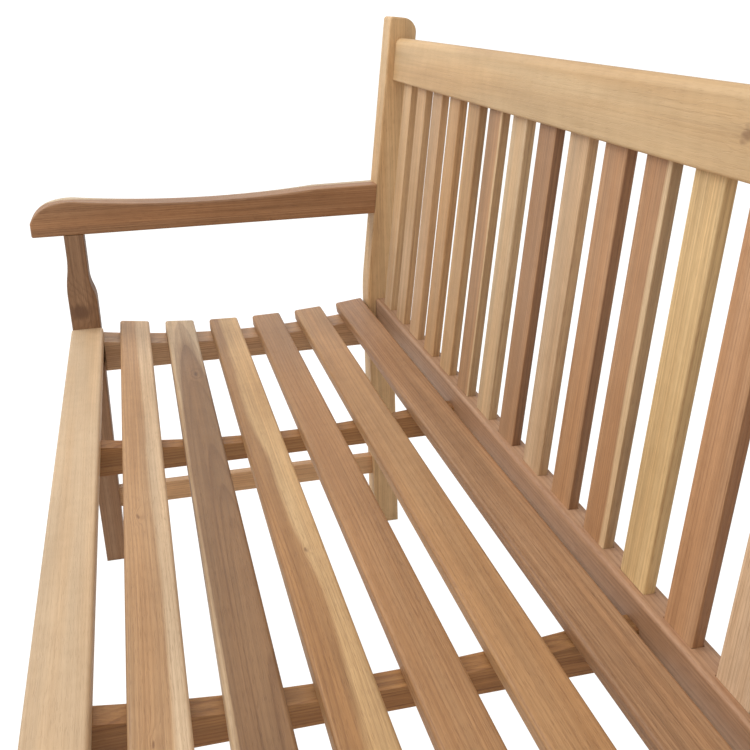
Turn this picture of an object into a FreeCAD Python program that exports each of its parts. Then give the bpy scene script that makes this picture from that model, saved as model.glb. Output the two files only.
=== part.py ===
import FreeCAD
import Part
import math
import os
import Sketcher

# Slatted garden bench in solid wood, in millimetres.
# X runs along the bench, Y from front to back, Z up. The origin is the middle of
# the floor area under the bench. Heights are above the floor. Depths in the sheet
# are measured back from the front of the legs, just behind the seat's front edge.

SIZES = {
    # overall
    "bench_length": 1500,
    "bench_height": 900,
    "seat_height": 434,
    "seat_depth": 496,
    "arm_rise": 155,
    # front legs
    "leg_width": 47,
    "leg_depth": 45,
    "leg_setback": 0.7,
    "foot_setback": 3.3,
    "foot_depth": 33,
    "stem_setback": 6.7,
    "stem_depth": 30.3,
    "leg_front_curve_low": 56,
    "leg_front_curve_high": 122,
    "leg_back_curve_low": 42,
    "leg_back_curve_high": 86,
    # back legs
    "post_depth": 44.5,
    "back_lean": 6.65,
    "bend_rise": 27,
    "bend_radius": 400,
    "post_front_round": 5,
    "post_rear_round": 22,
    # arms
    "arm_width": 47,
    "arm_nose": 40.5,
    "arm_nose_height": 22,
    "arm_brow_length": 28,
    "arm_brow_height": 47.5,
    "arm_brow_radius": 50,
    "arm_crest_length": 75.5,
    "arm_crest_height": 51.5,
    "arm_crest_radius": 100,
    "arm_dip_end": 96,
    "arm_dip_radius": 1875,
    "arm_nose_round": 8,
    "arm_rear_height": 48.5,
    "arm_rear_fall": 1,
    # rails, bearers and stretchers
    "rail_thick": 25,
    "apron_height": 60,
    "apron_setback": 10,
    "side_rail_height": 60,
    "end_bearer_thick": 30,
    "middle_bearer_thick": 24,
    "end_bearer_height": 49,
    "middle_bearer_height": 39,
    "middle_bearer_inset": 437,
    "bearer_leg_gap": 3,
    "dish_depth": 16,
    "dish_rear_drop": 2,
    "rear_rail_setback": 13,
    "rear_rail_rise": 6,
    "rear_rail_height": 78,
    "rear_rail_round": 5,
    "top_rail_thick": 32,
    "top_rail_height": 66,
    "top_rail_drop": 31,
    "top_rail_setback": 11.3,
    "top_rail_round": 10,
    "stretcher_thick": 20,
    "stretcher_height": 36,
    "stretcher_bottom": 98,
    # seat slats
    "slat_thick": 19,
    "slat_width": 47.5,
    "slat_count": 6,
    "slat_front_gap": 25,
    "slat_rear_gap": 0.5,
    "slat_end_overhang": 42,
    "front_slat_width": 50,
    "front_slat_nosing": 1,
    # back slats
    "back_slat_count": 17,
    "back_slat_width": 46.5,
    "back_slat_end_gap": 29.75,
    "back_slat_thick": 11.5,
    "back_slat_setback": 23.3,
    "back_slat_housing": 13,
    # joints
    "tenon_length": 18,
    "cross_tenon_length": 15,
    "tenon_shoulder": 7,
    "arm_tenon_shoulder": 10.5,
    "tenon_thick": 13,
    "stub_tenon_length": 12,
    "stub_tenon_shoulder": 4,
    "mortise_slack": 0.2,
    "slat_seat_gap": 0.1,
    "edge_round": 3,
    "slat_edge_round": 4,
    "back_slat_edge_round": 2.5,
    # fasteners
    "screw_diameter": 4.5,
    "screw_head_diameter": 8.5,
    "screw_head_height": 3,
    "screw_length": 35,
    "screw_bite": 14,
    "hole_clearance": 0.15,
    "counterbore_diameter": 10,
    "front_screw_count": 5,
    "front_screw_inset": 120,
    "bearer_screw_length": 42,
    "bolt_diameter": 6,
    "bolt_head_diameter": 12,
    "bolt_head_height": 5,
    "bolt_socket_diameter": 4.8,
    "bolt_socket_depth": 3,
    "bolt_recess": 6,
    "bolt_reach": 58,
    "nut_inset": 46,
    "nut_diameter": 10,
    "nut_length": 16,
    "peg_diameter": 8,
    "peg_depth": 32,
}

SHEET = "Sizes"
OVERSHOOT = 5  # how far a cut starts outside the wood, or a tongue inside it


class Size:
    """A length or angle, kept both as its value and as the formula that gives it."""

    def __init__(self, value, text):
        self.value = value
        self.text = text

    def __add__(self, other):
        other = size_of(other)
        return Size(self.value + other.value, f"({self.text} + {other.text})")

    def __sub__(self, other):
        other = size_of(other)
        return Size(self.value - other.value, f"({self.text} - {other.text})")

    def __mul__(self, other):
        other = size_of(other)
        return Size(self.value * other.value, f"{self.text} * {other.text}")

    def __truediv__(self, other):
        other = size_of(other)
        return Size(self.value / other.value, f"{self.text} / ({other.text})")

    def __neg__(self):
        return Size(-self.value, f"(-1 * {self.text})")

    __radd__ = __add__

    def __rsub__(self, other):
        return size_of(other) - self

    def __rmul__(self, other):
        return self * other


def size_of(value):
    """A plain number as a Size; a Size stays as it is."""
    return value if isinstance(value, Size) else Size(value, f"({value})")


def cell(name):
    """The Size held by one cell of the sheet."""
    return Size(float(sheet.get(name)), f"{SHEET}.{name}")


def sine(angle):
    return Size(math.sin(math.radians(angle.value)), f"sin({angle.text} * 1 deg)")


def cosine(angle):
    return Size(math.cos(math.radians(angle.value)), f"cos({angle.text} * 1 deg)")


def make_sheet():
    table = doc.addObject("Spreadsheet::Sheet", SHEET)
    for row, (name, value) in enumerate(SIZES.items(), start=1):
        table.set(f"A{row}", name)
        table.set(f"B{row}", str(value))
        table.setAlias(f"B{row}", name)
    doc.recompute()
    return table


# ---------------------------------------------------------------- making bodies

def new_body(label, x=0, y=0, z=0):
    """An empty body whose place is given in bench depths and heights."""
    body = doc.addObject("PartDesign::Body", label)
    body.Label = label
    place = (size_of(x), size_of(y) - MID_DEPTH, size_of(z))
    for axis, value in zip("xyz", place):
        body.setExpression(f"Placement.Base.{axis}", value.text)
    return body


def lean_back(body):
    """Turns a body about X, so that its own Z runs up the slope of the back."""
    body.Placement.Rotation = FreeCAD.Rotation(FreeCAD.Vector(-1, 0, 0), LEAN.value)
    body.setExpression("Placement.Rotation.Angle", f"{LEAN.text} * 1 deg")


def origin_plane(body, role):
    return next(item for item in body.Origin.OriginFeatures if item.Role == role)


def new_sketch(body, plane, offset):
    sketch = body.newObject("Sketcher::SketchObject", f"{body.Label}_outline")
    sketch.AttachmentSupport = [(origin_plane(body, plane), "")]
    sketch.MapMode = "FlatFace"
    sketch.AttachmentOffset = FreeCAD.Placement(
        FreeCAD.Vector(0, 0, offset.value), FreeCAD.Rotation())
    sketch.setExpression("AttachmentOffset.Base.z", offset.text)
    return sketch


def constrain(sketch, rule, value):
    """Adds a sized constraint and binds it to the value's formula."""
    index = sketch.addConstraint(rule)
    sketch.setExpression(f"Constraints[{index}]", value.text)


def draw_outline(sketch, points, radii):
    """Closed outline through the points.

    radii gives the radius of a curved side by the index of its first point. A
    positive radius bulges to the right of the direction of travel.
    """
    corners = [(size_of(u), size_of(v)) for u, v in points]
    count = len(corners)
    for index, start in enumerate(corners):
        end = corners[(index + 1) % count]
        first = FreeCAD.Vector(start[0].value, start[1].value, 0)
        last = FreeCAD.Vector(end[0].value, end[1].value, 0)
        if index not in radii:
            sketch.addGeometry(Part.LineSegment(first, last))
            continue
        radius = radii[index].value
        chord = last - first
        half = chord.Length / 2
        rise = abs(radius) - math.sqrt(radius ** 2 - half ** 2)
        side = FreeCAD.Vector(chord.y, -chord.x, 0).normalize()
        crown = (first + last) / 2 + side * math.copysign(rise, radius)
        sketch.addGeometry(Part.Arc(first, crown, last))
    ends = [side_ends(sketch, index, corners) for index in range(count)]
    for index in range(count):
        following = (index + 1) % count
        sketch.addConstraint(Sketcher.Constraint(
            "Coincident", index, ends[index][1], following, ends[following][0]))
    for index, (u, v) in enumerate(corners):
        for kind, value in (("DistanceX", u), ("DistanceY", v)):
            rule = Sketcher.Constraint(kind, index, ends[index][0], value.value)
            constrain(sketch, rule, value)
    for index, radius in radii.items():
        size = radius if radius.value > 0 else -radius
        rule = Sketcher.Constraint("Radius", index, size.value)
        constrain(sketch, rule, size)


def side_ends(sketch, index, corners):
    """Which end of a side is its first point: an arc may be stored reversed."""
    start = sketch.getPoint(index, 1)
    target = FreeCAD.Vector(corners[index][0].value, corners[index][1].value, 0)
    return (1, 2) if (start - target).Length < 1e-6 else (2, 1)


def slab(body, points, low, high, radii=None, cut=False, plane="YZ_Plane"):
    """Adds or cuts a slab: an outline in the plane, from low to high across it."""
    low, high = size_of(low), size_of(high)
    sketch = new_sketch(body, plane, (low + high) / 2)
    draw_outline(sketch, points, radii or {})
    kind = "PartDesign::Pocket" if cut else "PartDesign::Pad"
    feature = body.newObject(kind, f"{body.Label}_{'cut' if cut else 'slab'}")
    feature.Profile = sketch
    feature.SideType = "Symmetric"
    feature.setExpression("Length", (high - low).text)
    sketch.Visibility = False
    doc.recompute()
    return feature


def rectangle(u_low, u_high, v_low, v_high):
    return [(u_low, v_low), (u_high, v_low), (u_high, v_high), (u_low, v_high)]


def round_edges(body, radius, wanted):
    """Rounds the edges of the body's last feature that the test picks."""
    base = body.Tip
    names = [f"Edge{index}" for index, edge in enumerate(base.Shape.Edges, start=1)
             if wanted(edge)]
    fillet = body.newObject("PartDesign::Fillet", f"{body.Label}_round")
    fillet.Base = (base, names)
    fillet.setExpression("Radius", radius.text)
    doc.recompute()
    return fillet


def runs_along(axis):
    """Test for straight edges parallel to one axis of the body."""
    def test(edge):
        if edge.Curve.TypeId != "Part::GeomLine":
            return False
        return abs(getattr(edge.Curve.Direction, axis)) > 0.999
    return test


def lies_across(edge):
    """Test for edges that lie in one plane square to X: the outline's own edges."""
    box = edge.BoundBox
    return box.XLength < 1e-3


def passes(y, z, reach=0.5):
    """Test for edges along X that pass one point of the outline."""
    def test(edge):
        box = edge.BoundBox
        near = abs(box.YMin - y.value) < reach and abs(box.ZMin - z.value) < reach
        return box.XLength > 1 and box.YLength < 1e-3 and near
    return test


def mirror_piece(source, label):
    """The same piece at the other end of the bench."""
    piece = doc.addObject("Part::Mirroring", label)
    piece.Label = label
    piece.Source = source
    piece.Normal = (1, 0, 0)
    piece.Base = (0, 0, 0)
    return piece


# ------------------------------------------------------------- shared geometry

def arm_low():
    """Height of the arms' undersides."""
    return SEAT_TOP + cell("arm_rise")


def bend_height():
    """Height at which the back legs start to lean."""
    return SEAT_TOP + cell("bend_rise")


def rear_rail_top():
    return SEAT_TOP + cell("rear_rail_rise")


def side_rail_low():
    return bearer_top() - cell("side_rail_height")


def top_rail_low():
    """How far up the slope of the back the top rail's lower edge is."""
    return post_rise() - cell("top_rail_drop") - cell("top_rail_height")


def leg_back_at(height):
    """Depth of the front leg's tapered back face at a height below the seat."""
    foot = cell("leg_setback") + cell("foot_setback") + cell("foot_depth")
    top = cell("leg_setback") + cell("leg_depth")
    return foot + (top - foot) * height / SEAT_TOP


def post_front_at(height):
    """Depth of the back leg's leaning front face at a height above the bend."""
    slope = sine(LEAN) / cosine(LEAN)
    return cell("seat_depth") + (height - bend_height()) * slope


def post_rise():
    """Length of the back leg above its bend, up to its rounded top."""
    corner = cell("post_front_round")
    rise = cell("bench_height") - bend_height() - corner + corner * sine(LEAN)
    return rise / cosine(LEAN) + corner


def on_back(setback, rise):
    """Depth and height of a point given square to, and up along, the back."""
    depth = cell("seat_depth") + setback * cosine(LEAN) + rise * sine(LEAN)
    height = bend_height() - setback * sine(LEAN) + rise * cosine(LEAN)
    return depth, height


def dish_height(depth):
    """Height of the dished bearer top at a depth, on a shallow parabola."""
    run = cell("seat_depth") - DISH_START
    share = (depth - DISH_START) / run
    drop = cell("dish_depth") * 4 * share * (1 - share)
    seat = SEAT_TOP - cell("slat_thick") + cell("slat_seat_gap")
    return seat - cell("dish_rear_drop") * share - drop


def dish_bottom():
    """Height of the lowest point of the dished bearer tops."""
    top = SEAT_TOP - cell("slat_thick")
    return top - cell("dish_rear_drop") / 2 - cell("dish_depth")


def dish_radius():
    """Radius of the arc with the dish's chord and depth."""
    half = (cell("seat_depth") - DISH_START) / 2
    deep = cell("dish_depth")
    return (half * half + deep * deep) / (deep * 2)


def front_slat_span():
    """Depths of the front slat's two edges; its nosing stands out in front."""
    front = -cell("front_slat_nosing")
    return front, front + cell("front_slat_width")


def slat_start(index):
    """Depth of the front edge of a seat slat, counted from 0 at the front."""
    first = front_slat_span()[1] + cell("slat_front_gap")
    last = cell("seat_depth") - cell("slat_rear_gap") - cell("slat_width")
    return first + (last - first) * index / (cell("slat_count") - 1)


# -------------------------------------------------------------------- end frame

def make_front_leg():
    body = new_body("front_leg_left", -INNER)
    front = cell("leg_setback")
    back = front + cell("leg_depth")
    foot = front + cell("foot_setback")
    stem = front + cell("stem_setback")
    stem_back = stem + cell("stem_depth")
    top = arm_low()
    front_low, front_high = [SEAT_TOP + cell(f"leg_front_curve_{end}")
                             for end in ("low", "high")]
    back_low, back_high = [SEAT_TOP + cell(f"leg_back_curve_{end}")
                           for end in ("low", "high")]
    front_turn = s_radius(cell("stem_setback"), front_high - front_low)
    back_step = back - stem_back
    back_turn = s_radius(back_step, back_high - back_low)
    outline = [
        (foot, 0),
        (foot + cell("foot_depth"), 0),
        (back, SEAT_TOP),
        (back, back_low),
        (back - back_step / 2, (back_low + back_high) / 2),
        (stem_back, back_high),
        (stem_back, top),
        (stem, top),
        (stem, front_high),
        ((stem + front) / 2, (front_low + front_high) / 2),
        (front, front_low),
    ]
    radii = {3: back_turn, 4: -back_turn, 8: -front_turn, 9: front_turn}
    slab(body, outline, -LEG, 0, radii)
    round_edges(body, cell("edge_round"), lambda edge: leg_side_edge(edge, top))
    # tenon that holds the arm
    low, high = arm_tenon_span()
    tenon = rectangle(low, high, top - OVERSHOOT, top + cell("tenon_length"))
    slab(body, tenon, *centred(-LEG / 2, cell("tenon_thick")))
    # mortise for the apron, from the inner face
    cut_mortise_across(body, apron_tenon_box())
    # mortises for the side rail and the stretcher, from the back face
    for low, high in (side_rail_tenon_heights(), stretcher_tenon_heights()):
        depth = leg_back_at(low) - cell("tenon_length") - cell("mortise_slack")
        cut_mortise_along(body, depth, back + OVERSHOOT, low, high)
    cut_leg_bolt_hole(body, *apron_bolt())
    for peg in front_leg_pegs():
        cut_peg_hole(body, *peg)
    return body


def leg_side_edge(edge, top):
    """The front leg's outline edges, apart from the seat of the arm."""
    return lies_across(edge) and edge.BoundBox.ZMin < top.value - 1


def s_radius(step, rise):
    """Radius of the two equal arcs that shift a vertical face by a step."""
    half_step, half_rise = step / 2, rise / 2
    return (half_step * half_step + half_rise * half_rise) / (half_step * 2)


def centred(middle, width):
    """Low and high side of a width about its middle."""
    return middle - width / 2, middle + width / 2


def cut_mortise_along(body, y_low, y_high, z_low, z_high, middle=None):
    """Mortise for a tenon that runs from front to back."""
    slack = cell("mortise_slack")
    hole = rectangle(y_low, y_high, z_low - slack, z_high + slack)
    middle = -LEG / 2 if middle is None else middle
    slab(body, hole, *centred(middle, cell("tenon_thick") + slack * 2), cut=True)


def cut_mortise_across(body, corners):
    """Mortise in a leg's inner face for a tenon that runs along the bench."""
    depth = cell("cross_tenon_length") + cell("mortise_slack")
    slab(body, grown(corners), -depth, OVERSHOOT, cut=True)


def grown(corners):
    """A tenon's rectangle with the mortise slack added all round."""
    slack = cell("mortise_slack")
    (low_u, low_v), _, (high_u, high_v), _ = corners
    return rectangle(low_u - slack, high_u + slack, low_v - slack, high_v + slack)


def arm_tenon_span():
    """Depths between which the leg's top tenon enters the arm."""
    stem = cell("leg_setback") + cell("stem_setback")
    return stem + cell("tenon_shoulder"), stem + cell("stem_depth") - cell("tenon_shoulder")


def arm_rear_tenon_heights():
    low, shoulder = arm_low(), cell("arm_tenon_shoulder")
    return low + shoulder, low + cell("arm_rear_height") - shoulder


def side_rail_tenon_heights():
    shoulder = cell("tenon_shoulder")
    return side_rail_low() + shoulder, dish_bottom() - shoulder


def stretcher_tenon_heights():
    low = cell("stretcher_bottom")
    return low + cell("tenon_shoulder"), low + cell("stretcher_height") - cell("tenon_shoulder")


def apron_box():
    front = cell("apron_setback")
    top = SEAT_TOP - cell("slat_thick")
    return rectangle(front, front + cell("rail_thick"), top - cell("apron_height"), top)


def apron_tenon_box():
    return tenon_in(apron_box(), cell("rail_thick"))


def rear_rail_box():
    front = cell("seat_depth") + cell("rear_rail_setback")
    top = rear_rail_top()
    bottom = top - cell("rear_rail_height")
    return rectangle(front, front + cell("rail_thick"), bottom, top)


def rear_rail_tenon_box():
    return tenon_in(rear_rail_box(), cell("rail_thick"))


def top_rail_box():
    """The top rail's section, square to and up along the back."""
    front, low = cell("top_rail_setback"), top_rail_low()
    thick, height = cell("top_rail_thick"), cell("top_rail_height")
    return rectangle(front, front + thick, low, low + height)


def top_rail_tenon_box():
    return tenon_in(top_rail_box(), cell("top_rail_thick"))


def tenon_in(corners, thick):
    """A tenon in the middle of a section, with its shoulder above and below."""
    (low_u, low_v), _, (_, high_v), _ = corners
    near, far = centred(low_u + thick / 2, cell("tenon_thick"))
    shoulder = cell("tenon_shoulder")
    return rectangle(near, far, low_v + shoulder, high_v - shoulder)


def make_back_leg():
    body = new_body("back_leg_left", -INNER)
    front, deep = cell("seat_depth"), cell("post_depth")
    bend = bend_height()
    thick = deep * cosine(LEAN)
    rise = post_rise()
    outline = [
        (front, 0),
        (front + deep, 0),
        (front + deep, bend),
        on_back(thick, rise),
        on_back(size_of(0), rise),
        (front, bend),
    ]
    slab(body, outline, -LEG, 0)
    round_edges(body, cell("post_rear_round"), passes(*outline[3]))
    round_edges(body, cell("post_front_round"), passes(*outline[4]))
    for corner in (outline[2], outline[5]):
        round_edges(body, cell("bend_radius"), passes(*corner))
    round_edges(body, cell("edge_round"), lies_across)
    cut_mortise_across(body, rear_rail_tenon_box())
    # mortise for the top rail, square to the back
    (low_v, low_w), _, (high_v, high_w), _ = grown(top_rail_tenon_box())
    corners = [on_back(low_v, low_w), on_back(high_v, low_w),
               on_back(high_v, high_w), on_back(low_v, high_w)]
    depth = cell("cross_tenon_length") + cell("mortise_slack")
    slab(body, corners, -depth, OVERSHOOT, cut=True)
    # mortises in the front face, for the side rail, the stretcher and the arm
    reach = front + cell("tenon_length") + cell("mortise_slack")
    for low, high in (side_rail_tenon_heights(), stretcher_tenon_heights()):
        cut_mortise_along(body, front - OVERSHOOT, reach, low, high)
    low, high = arm_rear_tenon_heights()
    arm_reach = post_front_at(low) + cell("tenon_length") + cell("mortise_slack")
    cut_mortise_along(body, front - OVERSHOOT, arm_reach, low, high)
    cut_leg_bolt_hole(body, *rear_rail_bolt())
    cut_leg_bolt_hole(body, *on_back(*top_rail_bolt()))
    for peg in back_leg_pegs():
        cut_peg_hole(body, *peg)
    return body


def make_arm():
    body = new_body("arm_left", -INNER)
    nose = -cell("arm_nose")
    low = arm_low()
    rear_top = low + cell("arm_rear_height")
    rear = post_front_at(low)
    outline = [
        (nose, low),
        (rear, low),
        (post_front_at(rear_top), rear_top),
        (rear - cell("arm_dip_end"), rear_top - cell("arm_rear_fall")),
        (nose + cell("arm_crest_length"), low + cell("arm_crest_height")),
        (nose + cell("arm_brow_length"), low + cell("arm_brow_height")),
        (nose, low + cell("arm_nose_height")),
    ]
    radii = {3: -cell("arm_dip_radius"), 4: cell("arm_crest_radius"), 5: cell("arm_brow_radius")}
    slab(body, outline, -cell("arm_width"), 0, radii)
    round_edges(body, cell("arm_nose_round"), passes(*outline[6]))
    round_edges(body, cell("edge_round"), lambda edge: arm_side_edge(edge, rear))
    # tenon into the back leg
    tenon_low, tenon_high = arm_rear_tenon_heights()
    end = post_front_at(tenon_low) + cell("tenon_length")
    start = rear - cell("tenon_length")
    tenon = rectangle(start, end, tenon_low, tenon_high)
    slab(body, tenon, *centred(-LEG / 2, cell("tenon_thick")))
    # mortise for the front leg's tenon
    slack = cell("mortise_slack")
    leg_low, leg_high = arm_tenon_span()
    top = low + cell("tenon_length") + slack
    hole = rectangle(leg_low - slack, leg_high + slack, low - OVERSHOOT, top)
    slab(body, hole, *centred(-LEG / 2, cell("tenon_thick") + slack * 2), cut=True)
    for peg in (arm_front_peg(), arm_rear_peg()):
        cut_peg_hole(body, *peg)
    return body


def arm_side_edge(edge, rear):
    """The arm's outline edges and nose, apart from the end against the post."""
    box = edge.BoundBox
    at_nose = box.XLength > 1 and box.YMax < -cell("arm_nose").value + 1
    return at_nose or (lies_across(edge) and box.YMin < rear.value - 1)


def make_side_rail():
    body = new_body("side_rail_left", -INNER)
    low = side_rail_low()
    front_top = SEAT_TOP - cell("slat_thick")
    outline = [
        (leg_back_at(low), low),
        (cell("seat_depth"), low),
        (cell("seat_depth"), front_top - cell("dish_rear_drop")),
        (DISH_START, front_top),
        (leg_back_at(front_top), front_top),
    ]
    slab(body, outline, *centred(-LEG / 2, cell("rail_thick")), {2: -dish_radius()})
    tenon_low, tenon_high = side_rail_tenon_heights()
    add_end_tenons(body, leg_back_at(tenon_low), cell("seat_depth"), tenon_low, tenon_high)
    for peg in rail_pegs(side_rail_tenon_heights()):
        cut_peg_hole(body, *peg)
    for depth, height in bearer_screw_points():
        bore_along_x(body, -LEG, 0, depth, height, cell("screw_diameter"))
        sink = bearer_screw_head() + cell("screw_head_height")
        bore_along_x(body, -LEG, sink, depth, height, cell("screw_head_diameter"))
    return body


def add_end_tenons(body, front, back, low, high):
    """One tongue through the piece, standing out at both ends as its tenons."""
    length = cell("tenon_length")
    tongue = rectangle(front - length, back + length, low, high)
    slab(body, tongue, *centred(-LEG / 2, cell("tenon_thick")))


def make_stretcher():
    body = new_body("stretcher_left", -INNER)
    low = cell("stretcher_bottom")
    high = low + cell("stretcher_height")
    outline = [
        (leg_back_at(low), low),
        (cell("seat_depth"), low),
        (cell("seat_depth"), high),
        (leg_back_at(high), high),
    ]
    slab(body, outline, *centred(-LEG / 2, cell("stretcher_thick")))
    round_edges(body, cell("edge_round"), runs_along("y"))
    tenon_low, tenon_high = stretcher_tenon_heights()
    add_end_tenons(body, leg_back_at(tenon_low), cell("seat_depth"), tenon_low, tenon_high)
    for peg in rail_pegs(stretcher_tenon_heights()):
        cut_peg_hole(body, *peg)
    return body


# ------------------------------------------------------------------ seat frame

def bearer_top():
    """Height of the flat front end of the bearers, under the slats."""
    return SEAT_TOP - cell("slat_thick")


def make_end_bearer():
    body = new_body("end_bearer_left", -INNER)
    outer = (cell("rail_thick") - LEG) / 2
    low = bearer_top() - cell("end_bearer_height")
    rear = cell("seat_depth")
    outline = [
        (DISH_START, low),
        (rear, low),
        (rear, bearer_top() - cell("dish_rear_drop")),
        (DISH_START, bearer_top()),
    ]
    thick = cell("end_bearer_thick")
    slab(body, outline, outer, outer + thick, {2: -dish_radius()})
    for index in range(slat_total()):
        cut_screw_hole(body, outer + thick / 2, *slat_middle(index))
    for depth, height in bearer_screw_points():
        bore_along_x(body, outer - OVERSHOOT, bearer_screw_tip(), depth, height,
                     cell("screw_diameter"))
    return body


def make_middle_bearer():
    body = new_body("middle_bearer_left", -INNER + cell("middle_bearer_inset"))
    half = cell("middle_bearer_thick") / 2
    low = bearer_top() - cell("middle_bearer_height")
    front = cell("apron_setback") + cell("rail_thick")
    rear = cell("seat_depth")
    rear_top = bearer_top() - cell("dish_rear_drop")
    end = rear + cell("rear_rail_setback")
    outline = [
        (front, low),
        (end, low),
        (end, rear_top),
        (rear, rear_top),
        (DISH_START, bearer_top()),
        (front, bearer_top()),
    ]
    slab(body, outline, -half, half, {3: -dish_radius()})
    stub = cell("stub_tenon_length")
    tenon_low, tenon_high = stub_tenon_heights()
    tongue = rectangle(front - stub, end + stub, tenon_low, tenon_high)
    slab(body, tongue, *centred(size_of(0), cell("tenon_thick")))
    for index in range(slat_total()):
        cut_screw_hole(body, size_of(0), *slat_middle(index))
    return body


def stub_tenon_heights():
    low = bearer_top() - cell("middle_bearer_height")
    return low + cell("stub_tenon_shoulder"), dish_bottom() - cell("stub_tenon_shoulder")


def middle_bearer_places():
    """Where the two middle bearers stand along the bench."""
    place = INNER - cell("middle_bearer_inset")
    return -place, place


def make_apron():
    body = new_body("front_apron")
    slab(body, apron_box(), *centred(size_of(0), INNER * 2))
    round_edges(body, cell("edge_round"), runs_along("x"))
    slab(body, apron_tenon_box(), *centred(size_of(0), INNER * 2 + cell("cross_tenon_length") * 2))
    back = cell("apron_setback") + cell("rail_thick")
    reach = back - cell("stub_tenon_length") - cell("mortise_slack")
    for place in middle_bearer_places():
        cut_mortise_along(body, reach, back + OVERSHOOT, *stub_tenon_heights(), place)
    for place in front_screw_places():
        cut_screw_hole(body, place, *front_screw_seat())
    cut_bolt_holes(body, *apron_bolt(), cell("rail_thick"))
    return body


def make_rear_rail():
    body = new_body("rear_seat_rail")
    corners = rear_rail_box()
    slab(body, corners, *centred(size_of(0), INNER * 2))
    round_edges(body, cell("rear_rail_round"), passes(*corners[3]))
    slab(body, rear_rail_tenon_box(),
         *centred(size_of(0), INNER * 2 + cell("cross_tenon_length") * 2))
    front = cell("seat_depth") + cell("rear_rail_setback")
    reach = front + cell("stub_tenon_length") + cell("mortise_slack")
    for place in middle_bearer_places():
        cut_mortise_along(body, front - OVERSHOOT, reach, *stub_tenon_heights(), place)
    cut_bolt_holes(body, *rear_rail_bolt(), cell("rail_thick"))
    # mortises for the back slats, leaning with the back
    near = cell("back_slat_setback")
    far = near + cell("back_slat_thick")
    low, high = back_slat_low(), back_slat_low() + cell("back_slat_housing") * 2
    slack = cell("mortise_slack")
    corners = [on_back(near - slack, low - slack), on_back(far + slack, low - slack),
               on_back(far + slack, high), on_back(near - slack, high)]
    cut_slat_mortises(body, corners)
    return body


def make_top_rail():
    body = new_body("top_rail", 0, cell("seat_depth"), bend_height())
    lean_back(body)
    corners = top_rail_box()
    slab(body, corners, *centred(size_of(0), INNER * 2))
    for corner in corners[2:]:
        round_edges(body, cell("top_rail_round"), passes(*corner))
    for corner in corners[:2]:
        round_edges(body, cell("edge_round"), passes(*corner))
    slab(body, top_rail_tenon_box(),
         *centred(size_of(0), INNER * 2 + cell("cross_tenon_length") * 2))
    cut_bolt_holes(body, *top_rail_bolt(), cell("top_rail_thick"))
    near = cell("back_slat_setback")
    slack = cell("mortise_slack")
    low = top_rail_low()
    corners = rectangle(near - slack, near + cell("back_slat_thick") + slack,
                        low - OVERSHOOT, low + cell("back_slat_housing") + slack)
    cut_slat_mortises(body, corners)
    return body


def back_slat_pitch():
    """Spacing of the back slats, even between the two that stand by the legs."""
    run = INNER * 2 - cell("back_slat_end_gap") * 2 - cell("back_slat_width")
    return run / (cell("back_slat_count") - 1)


def back_slat_low():
    """How far along the slope of the back the slats' lower ends stand."""
    top_of_rail = rear_rail_top() - cell("back_slat_housing") - bend_height()
    far = cell("back_slat_setback") + cell("back_slat_thick")
    return (top_of_rail + far * sine(LEAN)) / cosine(LEAN)


def cut_slat_mortises(body, corners):
    """A row of mortises along X, one for each back slat."""
    count = cell("back_slat_count")
    pitch = back_slat_pitch()
    run = pitch * (count - 1)
    width = cell("back_slat_width") + cell("mortise_slack") * 2
    first = slab(body, corners, *centred(-(run / 2), width), cut=True)
    row = body.newObject("PartDesign::LinearPattern", f"{body.Label}_mortises")
    row.Originals = [first]
    row.Direction = (origin_plane(body, "X_Axis"), [""])
    row.setExpression("Length", run.text)
    row.setExpression("Occurrences", count.text)
    body.Tip = row
    doc.recompute()


def make_back_slat(index):
    count = cell("back_slat_count")
    place = back_slat_pitch() * (size_of(index) - (count - 1) / 2)
    body = new_body(f"back_slat_{index + 1:02d}", place, cell("seat_depth"),
                    bend_height())
    lean_back(body)
    near = cell("back_slat_setback")
    low = back_slat_low()
    high = top_rail_low() + cell("back_slat_housing")
    half = cell("back_slat_width") / 2
    section = rectangle(-half, half, near, near + cell("back_slat_thick"))
    slab(body, section, low, high, plane="XY_Plane")
    round_edges(body, cell("back_slat_edge_round"), runs_along("z"))
    return body


# ------------------------------------------------------------------- seat slats

def make_front_slat():
    body = new_body("front_seat_slat")
    corners = rectangle(*front_slat_span(), bearer_top(), SEAT_TOP)
    slab(body, corners, *centred(size_of(0), INNER * 2))
    round_edges(body, cell("slat_edge_round"), runs_along("x"))
    depth, height, _ = front_screw_seat()
    for place in front_screw_places():
        cut_pilot_hole(body, place, depth, height)
    return body


def slat_angle(start):
    """Slope of the chord of the dish under a slat, in degrees."""
    end = start + cell("slat_width")
    rise = dish_height(end) - dish_height(start)
    angle = math.degrees(math.atan2(rise.value, cell("slat_width").value))
    return Size(angle, f"(atan({rise.text} / {cell('slat_width').text}) / 1 deg)")


def make_seat_slat(index):
    start = slat_start(index)
    angle = slat_angle(start)
    body = new_body(f"seat_slat_{index + 1}", 0, start, dish_height(start))
    body.Placement.Rotation = FreeCAD.Rotation(FreeCAD.Vector(1, 0, 0), angle.value)
    body.setExpression("Placement.Rotation.Angle", f"{angle.text} * 1 deg")
    length = INNER * 2 + cell("slat_end_overhang") * 2
    corners = rectangle(size_of(0), cell("slat_width"), size_of(0), cell("slat_thick"))
    slab(body, corners, *centred(size_of(0), length))
    round_edges(body, cell("slat_edge_round"), runs_along("x"))
    for place in slat_screw_places():
        cut_pilot_hole(body, place, cell("slat_width") / 2, size_of(0))
    return body


def slat_total():
    return round(cell("slat_count").value)


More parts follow.
